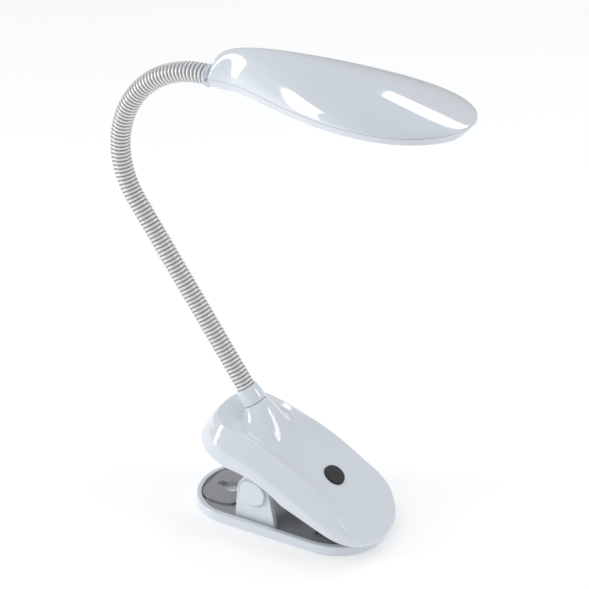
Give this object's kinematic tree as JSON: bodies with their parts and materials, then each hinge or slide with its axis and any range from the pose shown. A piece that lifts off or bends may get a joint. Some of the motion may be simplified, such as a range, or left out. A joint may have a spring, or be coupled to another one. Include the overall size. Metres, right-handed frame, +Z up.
{
  "type": "clip-on reading lamp",
  "caption": "Clip-on reading lamp: sprung clip with a push-button housing, a bendable metal gooseneck and a leaf-shaped LED head.",
  "frame": {"origin": "centre of the lower jaw's flat underside, which rests on the table", "axes": "+X from the handle end to the nose of the clip, +Y to the side, +Z up"},
  "size_m": [0.2024, 0.0644, 0.2683],
  "materials": {
    "white_gloss": "glossy injection-moulded white plastic",
    "white_satin": "satin white plastic",
    "grey_gloss": "glossy metallic-grey plastic",
    "grip_rubber": "matt grey rubber",
    "button_rubber": "fine-textured black rubber",
    "hose_metal": "satin silver-white wound metal hose",
    "steel": "plain steel",
    "screw_steel": "bright zinc-plated steel",
    "brass_ferrule": "turned brass",
    "lead_jacket": "soft insulation",
    "cell_wrap": "shrink-wrapped cell",
    "board_green": "solder-masked board",
    "board_metal": "white-coated aluminium board",
    "switch_black": "moulded switch body",
    "diffuser": "milky translucent acrylic",
    "led_chip": "phosphor-coated chips"
  },
  "bodies": {
    "lower_jaw": {"jaw_tray": "white_gloss", "jaw_plate": "grey_gloss", "jaw_grip": "grip_rubber", "jaw_screws": "screw_steel", "pivot_pin": "steel", "pivot_cap_near": "white_gloss", "pivot_cap_far": "white_gloss", "jaw_spring": "steel"},
    "housing": {"housing_shell": "white_gloss", "housing_base": "white_satin", "housing_screws": "screw_steel", "housing_grip": "grip_rubber", "battery_cell": "cell_wrap", "control_board": "board_green", "tactile_switch": "switch_black", "charge_socket": "steel", "neck_collar": "white_gloss", "neck_nut": "brass_ferrule", "neck_coil_1": "hose_metal", "neck_lead_1": "lead_jacket"},
    "button": {"switch_button": "button_rubber"},
    "neck_2": {"neck_coil_2": "hose_metal", "neck_lead_2": "lead_jacket"},
    "neck_3": {"neck_coil_3": "hose_metal", "neck_lead_3": "lead_jacket"},
    "neck_4": {"neck_coil_4": "hose_metal", "neck_lead_4": "lead_jacket"},
    "neck_5": {"neck_coil_5": "hose_metal", "neck_lead_5": "lead_jacket"},
    "neck_6": {"neck_coil_6": "hose_metal", "neck_lead_6": "lead_jacket"},
    "neck_7": {"neck_coil_7": "hose_metal", "neck_lead_7": "lead_jacket"},
    "head": {"neck_coil_8": "hose_metal", "neck_lead_8": "lead_jacket", "head_socket": "brass_ferrule", "head_shell": "white_gloss", "head_base": "white_satin", "diffuser": "diffuser", "led_board": "board_metal", "leds": "led_chip", "light_frame": "white_satin", "head_screws": "screw_steel"}
  },
  "joints": [
    {"name": "jaw_hinge", "type": "hinge", "parent": "lower_jaw", "child": "housing", "pos_m": [-0.011, 0, 0.0233], "axis": [0, -1, 0], "range_deg": [0, 35], "stiffness_Nm_per_rad": 0.9, "springref_deg": -28.65, "deforming": ["jaw_spring"]},
    {"name": "button_press", "type": "slide", "parent": "housing", "child": "button", "axis": [-0.5268, 0, -0.85], "range_m": [0, 0.0008], "stiffness_N_per_m": 2500, "springref_m": -0.0004},
    {"name": "neck_bend_1", "type": "hinge", "parent": "housing", "child": "neck_2", "pos_m": [-0.04365, 0, 0.09694], "axis": [0, 1, 0], "range_deg": [-25, 25]},
    {"name": "neck_bend_2", "type": "hinge", "parent": "neck_2", "child": "neck_3", "pos_m": [-0.05979, 0, 0.12088], "axis": [0.829, 0, 0.5592], "range_deg": [-25, 25]},
    {"name": "neck_bend_3", "type": "hinge", "parent": "neck_3", "child": "neck_4", "pos_m": [-0.07594, 0, 0.14481], "axis": [0, 1, 0], "range_deg": [-25, 25]},
    {"name": "neck_bend_4", "type": "hinge", "parent": "neck_4", "child": "neck_5", "pos_m": [-0.09209, 0, 0.16875], "axis": [0.829, 0, 0.5592], "range_deg": [-25, 25]},
    {"name": "neck_bend_5", "type": "hinge", "parent": "neck_5", "child": "neck_6", "pos_m": [-0.10081, 0, 0.1956], "axis": [0, 1, 0], "range_deg": [-30, 12]},
    {"name": "neck_bend_6", "type": "hinge", "parent": "neck_6", "child": "neck_7", "pos_m": [-0.09398, 0, 0.22298], "axis": [0.866, 0, -0.5], "range_deg": [-25, 25]},
    {"name": "neck_bend_7", "type": "hinge", "parent": "neck_7", "child": "head", "pos_m": [-0.07368, 0, 0.24259], "axis": [0, 1, 0], "range_deg": [-30, 12]}
  ]
}
